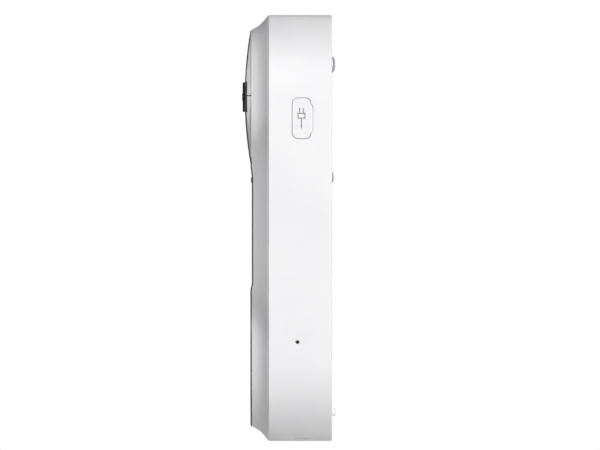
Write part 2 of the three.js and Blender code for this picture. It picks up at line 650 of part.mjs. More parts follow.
function caseScrews() {
  CASE_SCREWS.forEach(({ x, z, proud }, i) => {
    const head = CASE_HEAD_R;
    const profile = [
      [0, -14.5], [0.85, -14.1], [0.85, proud - 1.2], [head, proud - 1.2], [head, proud - 0.45],
      [head * 0.8, proud - 0.12], [0, proud],
    ];
    const slots = [[1.8, 0.4], [0.4, 1.8]].map(([w, h]) => {
      return box([x - w / 2, x + w / 2], [proud - 0.6, proud + 1], [z - h / 2, z + h / 2]);
    });
    add(`case_screw_${i + 1}`, cut(turned(profile, x, z, 12), ...slots), "steel");
  });
}

rearHousing();
sealRing();
frontFrame();
faceplate();
cameraRing();
lenses();
lensHolder();
filterShuttle();
cameraBoard();
nightLamps();
sensorAndMicrophone();
bellButton();
usbCover();
resetButton();
boards();
powerParts();
speaker();
terminals();
caseScrews();

export default group;
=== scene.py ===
"""Looks and fine shapes of a wired video doorbell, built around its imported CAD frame.

Shapes are drawn in millimetres in the CAD's own axes (X width, -Y front, +Z up), and scaled to
metres at the end.
"""

import json
import math

import bmesh
import bpy
import numpy as np
from mathutils import Matrix, Vector

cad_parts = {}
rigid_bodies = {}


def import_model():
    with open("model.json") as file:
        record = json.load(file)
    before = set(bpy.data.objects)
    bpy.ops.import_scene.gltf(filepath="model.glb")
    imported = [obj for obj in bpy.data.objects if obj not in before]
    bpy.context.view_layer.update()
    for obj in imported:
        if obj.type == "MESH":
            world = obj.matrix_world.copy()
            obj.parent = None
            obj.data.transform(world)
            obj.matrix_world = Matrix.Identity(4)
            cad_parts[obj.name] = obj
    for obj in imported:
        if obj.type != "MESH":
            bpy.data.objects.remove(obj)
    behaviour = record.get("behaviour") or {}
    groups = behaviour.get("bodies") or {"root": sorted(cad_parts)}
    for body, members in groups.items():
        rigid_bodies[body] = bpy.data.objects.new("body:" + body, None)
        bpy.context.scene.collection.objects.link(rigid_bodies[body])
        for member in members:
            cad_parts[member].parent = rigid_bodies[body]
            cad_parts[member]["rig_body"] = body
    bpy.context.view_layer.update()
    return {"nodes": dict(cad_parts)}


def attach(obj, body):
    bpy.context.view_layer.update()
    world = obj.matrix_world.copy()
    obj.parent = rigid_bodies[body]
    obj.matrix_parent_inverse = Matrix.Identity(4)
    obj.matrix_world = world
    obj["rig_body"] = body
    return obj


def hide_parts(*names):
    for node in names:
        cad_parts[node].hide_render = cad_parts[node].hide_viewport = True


MM = 0.001
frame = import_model()

# The body's measures are the CAD's, apart from small changes to the dark faces and the dome.
HALF_WIDTH = 23.9
END_Z = 38.1
SIDE_DEPTH = 18.5
WALL = 2
WAIST_FRONT_Y, END_FRONT_Y, PAD_FRONT_Y, PAD_Y = -23.28, -23.4, -23.7, -23.6
FACE_EDGE, DOME_FACE_EDGE = 0.45, 0.33
DOME_EDGE_R, DOME_STRETCH, DOME_BASE_R = 18.4, 1, 19.55
DOME_TOP_Y, DOME_BASE_Y, DOME_ROOT_Y = -25.4, -23.37, -22.3
NECK_DIP = 2.2
CAMERA_Z = 38.1
BUTTON_Z = -38.1
SENSOR_Z = 14
USB_Y, USB_Z = -8.9, 31.8
RESET_Y, RESET_Z = -10.05, -33.08
TERMINAL_X, TERMINAL_Z = 6.5, 47.6
CASE_SCREWS = [(-15, 14.7, 0.55), (15, 14.7, 0.55), (-16, -41, -0.4), (16, -41, -0.4)]
WALL_SCREW_Z = [56.2, -54.5]
PEG_X, PEG_Z = 9, -53.6
MICROPHONE = (-7, 2)
CAMERA_HOLE_R, BUTTON_HOLE_R, SENSOR_HOLE_R, MICROPHONE_HOLE_R = 4.6, 14.55, 1.15, 0.5
WALL_HOLE_R = 2
LAMP_CIRCLE_R = 12.2


# --- Node materials ---------------------------------------------------------

class Look:
    """A Principled material whose colour, roughness and bump come from procedural nodes."""

    def __init__(self, name, colour, roughness, metallic=0.0, specular=0.5, coat=0.0, coat_roughness=0.05):
        self.name = name
        self.material = bpy.data.materials.new(name)
        self.material.use_nodes = True
        self.tree = self.material.node_tree
        self.shader = self.tree.nodes["Principled BSDF"]
        self.place = self.tree.nodes.new("ShaderNodeTexCoord").outputs["Object"]
        self.set("Metallic", metallic)
        self.set("Specular IOR Level", specular)
        self.set("Coat Weight", coat)
        self.set("Coat Roughness", coat_roughness)
        self.set("Roughness", roughness)
        self.colour = self.plain(colour)
        self.normal = None

    def set(self, socket, value):
        self.shader.inputs[socket].default_value = value

    def node(self, kind, **inputs):
        made = self.tree.nodes.new(kind)
        for socket, value in inputs.items():
            self.feed(made.inputs[socket.replace("_", " ")], value)
        return made

    def feed(self, socket, value):
        if isinstance(value, bpy.types.NodeSocket):
            self.tree.links.new(value, socket)
        else:
            socket.default_value = value

    def plain(self, colour):
        made = self.tree.nodes.new("ShaderNodeRGB")
        made.outputs[0].default_value = (*colour, 1)
        return made.outputs[0]

    def stretched(self, scale):
        made = self.tree.nodes.new("ShaderNodeMapping")
        self.feed(made.inputs["Vector"], self.place)
        made.inputs["Scale"].default_value = scale
        return made.outputs["Vector"]

    def noise(self, scale, detail=3.0, stretch=None):
        place = self.stretched(stretch) if stretch else self.place
        return self.node("ShaderNodeTexNoise", Vector=place, Scale=scale, Detail=detail).outputs[0]

    def cells(self, scale):
        return self.node("ShaderNodeTexVoronoi", Vector=self.place, Scale=scale).outputs["Distance"]

    def ramp(self, value, low, high, out_low=0.0, out_high=1.0):
        made = self.tree.nodes.new("ShaderNodeMapRange")
        for socket, number in zip(made.inputs[:5], (value, low, high, out_low, out_high)):
            self.feed(socket, number)
        return made.outputs[0]

    def mix(self, factor, first, second):
        made = self.tree.nodes.new("ShaderNodeMix")
        made.data_type = "RGBA"
        self.feed(made.inputs[0], factor)
        for socket, value in zip(made.inputs[6:8], (first, second)):
            self.feed(socket, (*value, 1) if isinstance(value, tuple) else value)
        return made.outputs[2]

    def paint(self, factor, colour):
        self.colour = self.mix(factor, self.colour, colour)
        return self

    def blotches(self, scale, colour, low=0.42, high=0.68, stretch=None):
        return self.paint(self.ramp(self.noise(scale, 4.0, stretch), low, high), colour)

    def edge_wear(self, colour, low=0.53, high=0.6):
        edges = self.tree.nodes.new("ShaderNodeNewGeometry").outputs["Pointiness"]
        return self.paint(self.ramp(edges, low, high, 0.0, 0.6), colour)

    def vary_roughness(self, scale, low, high, stretch=None):
        rough = self.ramp(self.noise(scale, 5.0, stretch), 0.3, 0.7, low, high)
        self.feed(self.shader.inputs["Roughness"], rough)
        return self

    def bump(self, height, depth, strength=1.0):
        made = self.node("ShaderNodeBump", Strength=strength, Distance=depth, Height=height)
        if self.normal:
            self.feed(made.inputs["Normal"], self.normal)
        self.normal = made.outputs[0]
        return self

    def done(self):
        self.feed(self.shader.inputs["Base Color"], self.colour)
        if self.normal:
            self.feed(self.shader.inputs["Normal"], self.normal)
        return self.material


def moulded(name, colour, shade, rough, grain=5200, depth=1.2e-5, specular=0.45, coat=0.0):
    """Moulded plastic: fine spark-eroded grain, faint flow clouds, uneven gloss."""
    look = Look(name, colour, rough[0], specular=specular, coat=coat)
    look.blotches(55, shade).blotches(900, shade, 0.6, 0.8)
    look.vary_roughness(420, *rough)
    look.bump(look.noise(grain, 3.0), depth).bump(look.cells(grain * 0.6), depth * 0.5)
    return look


def sheet_metal(name, colour, shade, rough, stretch, depth=6e-6):
    """Plated or rolled metal with drawn lines and dulled patches."""
    look = Look(name, colour, rough[0], metallic=1.0)
    look.blotches(260, shade).vary_roughness(700, *rough, stretch=stretch)
    look.bump(look.noise(2600, 4.0, stretch), depth)
    return look


def circuit_board():
    look = Look("circuit_board", (0.012, 0.095, 0.042), 0.35, coat=0.3)
    rows = look.node("ShaderNodeTexBrick", Vector=look.stretched((1, 1, 1)), Scale=260.0)
    rows.inputs["Mortar Size"].default_value = 0.035
    look.paint(look.ramp(rows.outputs["Fac"], 0.2, 0.8), (0.05, 0.2, 0.1))
    pads = look.cells(420)
    look.paint(look.ramp(pads, 0.16, 0.12), (0.62, 0.62, 0.6))
    look.vary_roughness(900, 0.28, 0.45)
    return look.bump(rows.outputs["Fac"], 2e-5).bump(look.noise(3000), 6e-6).done()


def copper_winding():
    look = Look("copper", (0.62, 0.27, 0.12), 0.3, metallic=1.0)
    turns = look.node("ShaderNodeTexWave", Vector=look.place, Scale=900.0, Distortion=0.6)
    turns.bands_direction = "Y"
    # The valleys between the turns are painted darker: painted shade in the creases of the winding.
    look.paint(look.ramp(turns.outputs[1], 0.0, 0.35, 0.8, 0.0), (0.16, 0.05, 0.02))
    look.vary_roughness(600, 0.25, 0.45)
    return look.bump(turns.outputs[1], 8e-5).done()


def glass(name, colour, roughness, painted_coating_reflection):
    look = Look(name, colour, roughness, specular=0.7, coat=1.0, coat_roughness=0.02)
    # Purple blotches painted into the glass colour stand in for the coloured reflection of the lens coating:
    # painted reflection.
    look.blotches(300, painted_coating_reflection, 0.5, 0.75)
    look.vary_roughness(500, roughness, roughness * 1.8)
    return look.bump(look.noise(900, 2.0), 1.5e-6).done()


def all_looks():
    shell = moulded("shell_plastic", (0.86, 0.86, 0.87), (0.83, 0.83, 0.845), (0.36, 0.5))
    button = moulded("button_plastic", (0.84, 0.84, 0.85), (0.81, 0.81, 0.82), (0.3, 0.42), grain=4200)
    face = moulded("face_plastic", (0.06, 0.06, 0.064), (0.052, 0.052, 0.056), (0.22, 0.32), grain=7000,
                   depth=3e-6, coat=0.2)
    black = moulded("black_plastic", (0.018, 0.018, 0.02), (0.026, 0.026, 0.028), (0.42, 0.6), depth=2e-5)
    black.edge_wear((0.07, 0.07, 0.075))
    clear = moulded("clear_plastic", (0.78, 0.83, 0.85), (0.7, 0.76, 0.79), (0.18, 0.3), grain=1600,
                    depth=1e-5, coat=0.4)
    clear.set("Transmission Weight", 0.25)
    rubber = moulded("cover_rubber", (0.85, 0.85, 0.86), (0.82, 0.82, 0.83), (0.55, 0.7), grain=4200,
                     depth=2e-5, specular=0.3)
    seal = moulded("seal_rubber", (0.02, 0.02, 0.021), (0.035, 0.034, 0.033), (0.7, 0.9), grain=2600,
                   depth=3e-5, specular=0.25)
    resin = moulded("chip_resin", (0.022, 0.022, 0.025), (0.034, 0.034, 0.037), (0.5, 0.7), grain=3600,
                    depth=2e-5)
    olive = moulded("reset_plastic", (0.2, 0.19, 0.035), (0.13, 0.13, 0.03), (0.45, 0.6), depth=2e-5)
    steel = sheet_metal("steel", (0.68, 0.71, 0.77), (0.56, 0.59, 0.65), (0.48, 0.62), (1, 1, 0.12))
    steel.edge_wear((0.72, 0.74, 0.78))
    tin = sheet_metal("tin_plate", (0.66, 0.67, 0.69), (0.55, 0.56, 0.58), (0.28, 0.46), (0.1, 1, 1))
    brass = sheet_metal("brass", (0.66, 0.46, 0.17), (0.5, 0.33, 0.12), (0.22, 0.42), (1, 0.15, 1))
    brass.edge_wear((0.85, 0.68, 0.36))
    looks = [shell, button, face, black, clear, rubber, seal, resin, olive, steel, tin, brass]
    made = {look.name: look.done() for look in looks}
    made["circuit_board"] = circuit_board()
    made["copper"] = copper_winding()
    made["lens_glass"] = glass("lens_glass", (0.012, 0.01, 0.02), 0.06, (0.03, 0.012, 0.045))
    return made


LOOKS = all_looks()
SLOT_OF_NODE = {
    "shell_plastic": ["rear_housing", "faceplate"],
    "face_plastic": ["camera_face", "lower_face"],
    "button_plastic": ["bell_button"],
    "black_plastic": ["front_frame", "camera_ring", "lens_barrel", "lens_holder", "switch_plunger",
                      "usb_tongue", "board_connector", "speaker_frame", "terminal_block"],
    "lens_glass": ["front_lens", "inner_lens", "middle_lens", "infrared_filter", "light_sensor_lens"],
    "clear_plastic": ["light_ring", "infrared_lamp_1", "infrared_lamp_2", "infrared_lamp_3",
                      "infrared_lamp_4"],
    "cover_rubber": ["usb_cover"],
    "seal_rubber": ["housing_seal", "microphone_gasket"],
    "circuit_board": ["camera_board", "lamp_board", "main_board", "power_board"],
    "steel": ["button_spring", "speaker_magnet", "terminal_screw_1", "terminal_screw_2", "case_screw_1",
              "case_screw_2", "case_screw_3", "case_screw_4"],
    "tin_plate": ["filter_shuttle", "microphone", "usb_socket", "reset_switch", "processor_shield",
                  "capacitor_1", "capacitor_2"],
    "copper": ["filter_coil", "radio_antenna", "power_inductor"],
    "brass": ["terminal_plate_1", "terminal_plate_2", "terminal_clamp_1", "terminal_clamp_2"],
    "chip_resin": ["image_sensor", "memory_chip", "bridge_rectifier", "speaker_cone", "button_switch"],
    "reset_plastic": ["reset_plunger"],
}


def dress_cad_nodes():
    for slot, names in SLOT_OF_NODE.items():
        for name in names:
            node = frame["nodes"][name]
            if not node.data.materials:
                node.data.materials.append(None)
            for material_slot in node.material_slots:
                material_slot.material = LOOKS[slot]


dress_cad_nodes()


# --- Mesh tools ---------------------------------------------------------------

def mesh_object(name, points, faces):
    mesh = bpy.data.meshes.new(name)
    mesh.from_pydata([tuple(map(float, p)) for p in points], [], faces)
    made = bpy.data.objects.new(name, mesh)
    bpy.context.scene.collection.objects.link(made)
    clean(made)
    return made


def clean(made, dissolve=None):
    """Joins equal points, drops the faces that this flattens, and turns the rest outwards."""
    b = bmesh.new()
    b.from_mesh(made.data)
    bmesh.ops.remove_doubles(b, verts=b.verts, dist=2e-4)
    bmesh.ops.dissolve_degenerate(b, edges=b.edges, dist=1e-4)
    if dissolve:
        bmesh.ops.dissolve_limit(b, angle_limit=math.radians(dissolve), verts=b.verts, edges=b.edges)
    bmesh.ops.recalc_face_normals(b, faces=b.faces)
    b.to_mesh(made.data)
    b.free()
    return made


def bake(made):
    bpy.context.view_layer.update()
    graph = bpy.context.evaluated_depsgraph_get()
    mesh = bpy.data.meshes.new_from_object(made.evaluated_get(graph))
    made.modifiers.clear()
    made.data = mesh
    return made


def boolean(made, others, operation):
    for other in others:
        step = made.modifiers.new("boolean", "BOOLEAN")
        step.operation, step.solver, step.object = operation, "EXACT", other
    bake(made)
    for other in others:
        bpy.data.objects.remove(other)
    return made


def cut(made, *others):
    return boolean(made, others, "DIFFERENCE")


def join(made, *others):
    return boolean(made, others, "UNION")


def soften(made, width, angle=40, segments=2):
    """Rounds the sharp edges."""
    clean(made, dissolve=0.3)
    step = made.modifiers.new("edge", "BEVEL")
    step.width, step.segments = width, segments
    step.limit_method, step.angle_limit = "ANGLE", math.radians(angle)
    step.miter_outer = "MITER_ARC"
    return bake(made)


def finish_piece(made, body, slot, *nodes, crease=32):
    """Scales a piece to metres, shades it, and puts it in its CAD nodes' place."""
    made.data.transform(Matrix.Scale(MM, 4))
    made.data.shade_smooth()
    made.data.set_sharp_from_angle(angle=math.radians(crease))
    step = made.modifiers.new("normals", "WEIGHTED_NORMAL")
    step.keep_sharp, step.weight = True, 60
    bake(made)
    made.data.materials.clear()
    made.data.materials.append(LOOKS[slot])
    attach(made, body)
    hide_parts(*nodes)
    return made


def grid_faces(rows, columns, wrap_rows=False):
    faces = []
    for r in range(rows if wrap_rows else rows - 1):
        for c in range(columns):
            n, d = (r + 1) % rows, (c + 1) % columns
            faces.append((r * columns + c, r * columns + d, n * columns + d, n * columns + c))
    return faces


def fillet(profile, radius, steps=3, closed=False):
    """Rounds the corners of a profile."""
    points = [np.array(p, float) for p in profile]
    if closed:
        points = points[:-1]
    rounded = []
    for i, here in enumerate(points):
        if not closed and i in (0, len(points) - 1):
            rounded.append(here)
            continue
        before, after = points[i - 1] - here, points[(i + 1) % len(points)] - here
        lengths = np.linalg.norm(before), np.linalg.norm(after)
        straight = np.dot(before, after) / (lengths[0] * lengths[1]) < -0.95
        if straight:
            rounded.append(here)
            continue
        reach = min(radius, 0.45 * lengths[0], 0.45 * lengths[1])
        a, b = here + before / lengths[0] * reach, here + after / lengths[1] * reach
        for t in np.linspace(0, 1, steps + 1):
            rounded.append((1 - t) ** 2 * a + 2 * t * (1 - t) * here + t * t * b)
    if closed:
        rounded.append(rounded[0])
    return rounded


def turned(name, profile, x, z, sides=72, radius=0.0):
    """Turns a profile of [radius, y] points about an axis along Y through (x, z)."""
    closed = bool(np.allclose(profile[0], profile[-1]))
    if radius:
        profile = fillet(profile, radius, closed=closed)
    if closed:
        profile = profile[:-1]
    angles = np.linspace(0, 2 * math.pi, sides, endpoint=False)
    points = [(x + r * math.cos(a), y, z + r * math.sin(a)) for r, y in profile for a in angles]
    return mesh_object(name, points, grid_faces(len(profile), sides, wrap_rows=closed))


def rod(x, z, r, y0, y1, sides=64):
    return turned("rod", [[0, y0], [r, y0], [r, y1], [0, y1]], x, z, sides)


def tube(name, x, z, inner, outer, y0, y1, radius=0.0, sides=72):
    profile = [[inner, y0], [outer, y0], [outer, y1], [inner, y1], [inner, y0]]
    return turned(name, profile, x, z, sides, radius)


def prism(name, outlines, axis):
    """Joins parallel outlines: each is (depth, [(u, v), ...]), with depth along the axis."""
    order = {"x": lambda u, v, d: (d, u, v), "y": lambda u, v, d: (u, d, v),
             "z": lambda u, v, d: (u, v, d)}[axis]
    count = len(outlines[0][1])
    points = [order(u, v, depth) for depth, outline in outlines for u, v in outline]
    faces = grid_faces(len(outlines), count)
    last = (len(outlines) - 1) * count
    faces += [tuple(reversed(range(count))), tuple(range(last, last + count))]
    return mesh_object(name, points, faces)


def rounded_rectangle(u, v, width, height, radius, steps=8):
    outline = []
    for i, (a, b) in enumerate([(1, 1), (-1, 1), (-1, -1), (1, -1)]):
        centre = (u + a * (width / 2 - radius), v + b * (height / 2 - radius))
        for t in np.linspace(0, math.pi / 2, steps + 1):
            angle = i * math.pi / 2 + t
            outline.append((centre[0] + radius * math.cos(angle), centre[1] + radius * math.sin(angle)))
    return outline


def side_plate(name, y, z, width, height, radius, x0, x1, edge=0.0):
    """A rounded plate on edge: width along Y, height along Z, thickness along X, edge rounded at x1."""
    outlines = [(x0, rounded_rectangle(y, z, width, height, radius))]
    for t in (np.linspace(0, math.pi / 2, 5) if edge else [0]):
        inset = edge * (1 - math.cos(t))
        outline = rounded_rectangle(y, z, width - 2 * inset, height - 2 * inset, max(radius - inset, 0.05))
        outlines.append((x1 - edge * (1 - math.sin(t)), outline))
    return prism(name, outlines, "x")


def block(name, x, y, z):
    outline = [(x[0], y[0]), (x[1], y[0]), (x[1], y[1]), (x[0], y[1])]
    return prism(name, [(z[0], outline), (z[1], outline)], "z")


def pill(inset, steps=56):
    radius = HALF_WIDTH - inset
    arc = np.linspace(0, math.pi, steps + 1)
    top = [(radius * math.cos(a), END_Z + radius * math.sin(a)) for a in arc]
    return top + [(-u, -v) for u, v in top]


def pill_slab(name, inset, y0, y1):
    outline = pill(inset)
    return prism(name, [(y0, outline), (y1, outline)], "y")


# --- Front surface ------------------------------------------------------------

def smoothstep(low, high, value):
    t = min(max((value - low) / (high - low), 0), 1)
    return t * t * (3 - 2 * t)


def lerp(a, b, t):
    return a + (b - a) * t


def outline_stations():
    """Spine height and direction of each point round the outline, close together where the front steps."""
    fine_steps = [-18.2 + 0.23 * i for i in range(11)]
    heights = sorted({round(float(h), 3) for h in [*np.linspace(-END_Z, END_Z, 65), *fine_steps]})
    arc = np.linspace(0, math.pi, 57)
    right = [(h, 1.0, 0.0) for h in heights[:-1]]
    top = [(END_Z, math.cos(a), math.sin(a)) for a in arc]
    left = [(h, -1.0, 0.0) for h in reversed(heights[1:-1])]
    bottom = [(-END_Z, -math.cos(a), -math.sin(a)) for a in arc[:-1]]
    return right + top + left + bottom


STATIONS = outline_stations()


def loft(name, rows):
    """Each row gives [reach from the spine, y] at a spine height."""
    points = []
    for row in rows:
        for spine, x, z in STATIONS:
            reach, y = row(spine)
            points.append((x * reach, y, spine + z * reach))
    return mesh_object(name, points, grid_faces(len(rows), len(STATIONS)))


def plate_reach(z):
    height = abs(z)
    neck = NECK_DIP * math.exp(-(((height - 24) / 8) ** 2))
    return 19.6 - neck * (1 - smoothstep(24, END_Z, height)) - 0.4 * (1 - smoothstep(8, 24, height))


def plate_y(z):
    lip = 0.38 * math.exp(-(((z - 18.2) / 2.2) ** 2))
    top = smoothstep(16, 24, z) * (END_FRONT_Y - WAIST_FRONT_Y)
    return WAIST_FRONT_Y + top - lip + smoothstep(15.9, 18.2, -z) * (PAD_FRONT_Y - WAIST_FRONT_Y)


def end_hollow(step):
    """How far in the hollow rim has come at a share of its height, at the two ends."""
    return (1.5 * step - 0.625 * step * step if step < 0.76 else 0.779 + 0.55 * (step - 0.76)) / 0.911


def rim_row(step, inset=0.0, drop=0.0):
    def row(z):
        waist = 1.15 * step - 0.15 * step * step
        inward = lerp(waist, end_hollow(step), smoothstep(20, 32, abs(z)))
        return (lerp(HALF_WIDTH, plate_reach(z), inward) - inset,
                -SIDE_DEPTH + (seat_y(z) + SIDE_DEPTH) * step + drop)
    return row


def seat_y(z):
    return plate_y(z) + FACE_EDGE * smoothstep(21.5, 18.5, z)


def front_rim():
    rows = [lambda z: (0, -SIDE_DEPTH + 0.04), lambda z: (HALF_WIDTH - 0.2, -SIDE_DEPTH + 0.04),
            lambda z: (HALF_WIDTH - 0.12, -SIDE_DEPTH + 0.01)]
    rows += [rim_row(step) for step in [0.05, *np.linspace(0.1, 0.88, 11), 0.92, 0.96]]
    rows += [lambda z: (plate_reach(z) + 0.05, seat_y(z)), lambda z: (0, seat_y(z))]
    return loft("front_shell", rows)


def shell_cavity():
    rows = [lambda z: (0, -SIDE_DEPTH + 1), lambda z: (HALF_WIDTH - 1.8, -SIDE_DEPTH + 1)]
    rows += [rim_row(step, 1.8, 1.5) for step in (0, 0.25, 0.5, 0.75, 1)]
    return loft("cavity", rows + [lambda z: (0, plate_y(z) + 1.5)])


def dome_y(x, z):
    return DOME_TOP_Y + z * z / 228 + x * x / 1692


def ring_loft(name, rings, sides=128):
    points = []
    for ring in rings:
        for a in np.linspace(0, 2 * math.pi, sides, endpoint=False):
            reach, y = ring(math.cos(a), math.sin(a))
            points.append((reach * math.cos(a), y, CAMERA_Z + reach * math.sin(a)))
    return mesh_object(name, points, grid_faces(len(rings), sides))


def dome_edge(s):
    """The dome's face is a little taller than it is wide."""
    return DOME_EDGE_R + DOME_STRETCH * s ** 4


def dome_rings(inset, drop):
    def ring(t):
        def at(c, s):
            reach = (dome_edge(s) - inset) * t
            return reach, dome_y(reach * c, reach * s) + drop
        return at
    return [ring(t) for t in np.linspace(0, 1, 9)]


def flank_y(c, s, t):
    """Height of the dome's flank, from behind the dark face's edge down to the dome's foot."""
    edge = dome_edge(s)
    start = min(dome_y(edge * c, edge * s) + DOME_FACE_EDGE, DOME_BASE_Y)
    return lerp(start, DOME_BASE_Y, 1.4 * t - 0.4 * t * t)


def dome():
    def flank(t):
        def ring(c, s):
            edge = dome_edge(s)
            return lerp(edge, DOME_BASE_R, t), flank_y(c, s, t)
        return ring
    root = [lambda c, s: (DOME_BASE_R, DOME_ROOT_Y), lambda c, s: (0, DOME_ROOT_Y)]
    return ring_loft("dome", dome_rings(0, 0.6) + [flank(t) for t in (0, 0.2, 0.4, 0.6, 0.8, 1)] + root)


def flank_window(side):
    """A thin dark window that carries the camera's band down the dome's flank."""
    columns, layer, depth = 25, 6, 0.12
    rows = 2 * layer
    points, half = [], math.asin(4.4 / DOME_EDGE_R)
    angles = np.linspace(-half, half, columns) + (0 if side > 0 else math.pi)
    for offset, shares in ((0.05, np.linspace(0, depth, layer)), (-0.3, np.linspace(depth, 0, layer))):
        for t in shares:
            for a in angles:
                c, s = math.cos(a), math.sin(a)
                reach = lerp(dome_edge(s), DOME_BASE_R, t) + offset
                points.append((reach * c, flank_y(c, s, t) - 0.4 * offset, CAMERA_Z + reach * s))
    faces = []
    for r in range(rows):
        here, after = r * columns, (r + 1) % rows * columns
        faces += [(here + i, here + i + 1, after + i + 1, after + i) for i in range(columns - 1)]
    faces.append(tuple(r * columns for r in range(rows)))
    faces.append(tuple(r * columns + columns - 1 for r in reversed(range(rows))))
    return mesh_object("flank_window_right" if side > 0 else "flank_window_left", points, faces)


def camera_hole():
    return rod(0, CAMERA_Z, CAMERA_HOLE_R, 0, -40)


def lower_holes():
    return [rod(0, BUTTON_Z, BUTTON_HOLE_R, 0, -40, 96), rod(0, SENSOR_Z, SENSOR_HOLE_R, 0, -40, 32),
            rod(*MICROPHONE, MICROPHONE_HOLE_R, 0, -40, 24)]


def front_shell():
    shell = join(front_rim(), dome())
    room = rod(0, CAMERA_Z, 13.9, -20, -23.4)
    holes = [camera_hole(), *lower_holes()]
    seams = [block("seam", (side * 17.3, side * 25), (-24.75, -23.35), (38.3, 38.6)) for side in (-1, 1)]
    cut(shell, shell_cavity(), room, *holes, *seams)
    clean(shell)
    return finish_piece(shell, "front_cover", "shell_plastic", "faceplate")


def faces():
    def rounded_edge(c, s):
        reach = dome_edge(s) - 0.04
        return reach, dome_y(reach * c, reach * s) + 0.06

    underside = dome_rings(0.04, FACE_EDGE + 0.1)[::-1]
    disc = ring_loft("camera_cover_face", dome_rings(0.1, 0) + [rounded_edge] + underside)
    cut(disc, camera_hole())
    finish_piece(disc, "front_cover", "face_plastic", "camera_face")

    for side in (-1, 1):
        finish_piece(flank_window(side), "front_cover", "black_plastic")

    rows = [lambda z: (0, plate_y(z) + FACE_EDGE),
            lambda z: (plate_reach(z) - 0.02, plate_y(z) + FACE_EDGE),
            lambda z: (plate_reach(z) - 0.02, plate_y(z) + 0.05),
            lambda z: (plate_reach(z) - 0.07, plate_y(z)),
            lambda z: (0, plate_y(z))]
    lower = loft("bell_cover_face", rows)
    above = block("above", (-30, 30), (-30, -15), (26, 70))
    round_the_dome = rod(0, CAMERA_Z, DOME_BASE_R + 0.45, -15, -30, 128)
    cut(lower, above, round_the_dome, *lower_holes())
    finish_piece(lower, "front_cover", "face_plastic", "lower_face")


# --- Rear housing ---------------------------------------------------------------

def tub():
    rear = 0.45
    profile = [(0, 0), *[(HALF_WIDTH - rear + rear * math.sin(t), -rear + rear * math.cos(t))
                         for t in np.linspace(0, math.pi / 2, 6)]]
    profile += [(HALF_WIDTH, -SIDE_DEPTH + 0.42), (HALF_WIDTH - 0.025, -SIDE_DEPTH + 0.26),
                (HALF_WIDTH - 0.08, -SIDE_DEPTH + 0.1),
                (HALF_WIDTH - WALL, -SIDE_DEPTH + 0.1), (HALF_WIDTH - WALL, -WALL - 0.5),
                (HALF_WIDTH - WALL - 0.5, -WALL), (0, -WALL)]
    return loft("rear_shell", [lambda z, p=point: p for point in profile])


def wall_holes():
    mouth = WALL_HOLE_R + 0.25
    profile = [[0, -30], [WALL_HOLE_R, -30], [WALL_HOLE_R, -0.25], [mouth, 0.001], [mouth, 2], [0, 2]]
    return [turned("hole", profile, 0, z) for z in WALL_SCREW_Z]


def case_holes():
    """Counterbored holes, each as deep as its screw's head needs."""
    holes = []
    for x, z, proud in CASE_SCREWS:
        seat = proud - 1.4
        profile = [[0, 2], [2.05, 2], [2.05, 0.001], [1.9, -0.15], [1.9, seat], [1.15, seat], [1.15, -16.1],
                   [0, -16.1]]
        holes.append(turned("hole", profile, x, z, 48))
    return holes


def cover_outline(grow=0.0):
    """The socket cover's outline in (y, z): rounder at the front, with a fingernail lip on the rear edge."""
    front, rear, top = USB_Y - 2.65 - grow, USB_Y + 2.65 + grow, 5.85 + grow
    lip = USB_Y + 3.05 + 2.4 * grow
    outline = []
    for centre, radius, start in (((front + 1.75, USB_Z + top - 1.75), 1.75, 90),
                                  ((front + 1.75, USB_Z - top + 1.75), 1.75, 180),
                                  ((rear - 1.45, USB_Z - top + 1.45), 1.45, 270)):
        for t in np.radians(np.linspace(start, start + 90, 10)):
            outline.append((centre[0] + radius * math.cos(t), centre[1] + radius * math.sin(t)))
    outline += [(rear, USB_Z - 4.35), (lip, USB_Z - 3.6), (lip, USB_Z + 3.6), (rear, USB_Z + 4.35)]
    for t in np.radians(np.linspace(0, 90, 10)):
        outline.append((rear - 1.45 + 1.45 * math.cos(t), USB_Z + top - 1.45 + 1.45 * math.sin(t)))
    return outline


def usb_recess():
    seat = prism("seat", [(22.65, rounded_rectangle(USB_Y, USB_Z, 5.6, 12, 1.55)),
                          (23.5, rounded_rectangle(USB_Y, USB_Z, 5.6, 12, 1.55))], "x")
    mouth = prism("mouth", [(23.42, cover_outline(0.14)), (23.84, cover_outline(0.14)),
                            (23.92, cover_outline(0.2)), (25, cover_outline(0.2))], "x")
    window = side_plate("window", USB_Y - 0.1, USB_Z, 3.9, 9.2, 0.6, 20.9, 23.9)
    return [seat, mouth, window]


def reset_hole():
    angles = np.linspace(0, 2 * math.pi, 40, endpoint=False)
    rings = []
    for x, r in ((20.9, 0.55), (23.75, 0.55), (23.93, 0.78), (25, 0.78)):
        rings.append((x, [(RESET_Y + r * math.cos(a), RESET_Z + r * math.sin(a)) for a in angles]))
    return prism("reset", rings, "x")


def sound_slots():
    slots = []
    for x in (-6, -3, 0, 3, 6):
        outline = rounded_rectangle(x, -9, 1.2, 5, 0.59, 6)
        slots.append(prism("slot", [(-63, outline), (-58.6, outline)], "z"))
    return slots


def peg(x):
    points = [(-1, 0), (0.75, 0), (0.95, 0.1), (1.06, 0.25), (1.1, 0.45)]
    outlines = []
    for y, inset in points:
        outlines.append((y, rounded_rectangle(x, PEG_Z, 2.8 - 2 * inset, 2 - 2 * inset, 0.92 - inset)))
    return prism("peg", outlines, "y")


def wire_window():
    outline = rounded_rectangle(0, TERMINAL_Z, 24, 8, 1)
    mouth = rounded_rectangle(0, TERMINAL_Z, 24.6, 8.6, 1.3)
    return prism("wires", [(-2.5, outline), (-0.3, outline), (0.01, mouth), (1, mouth)], "y")


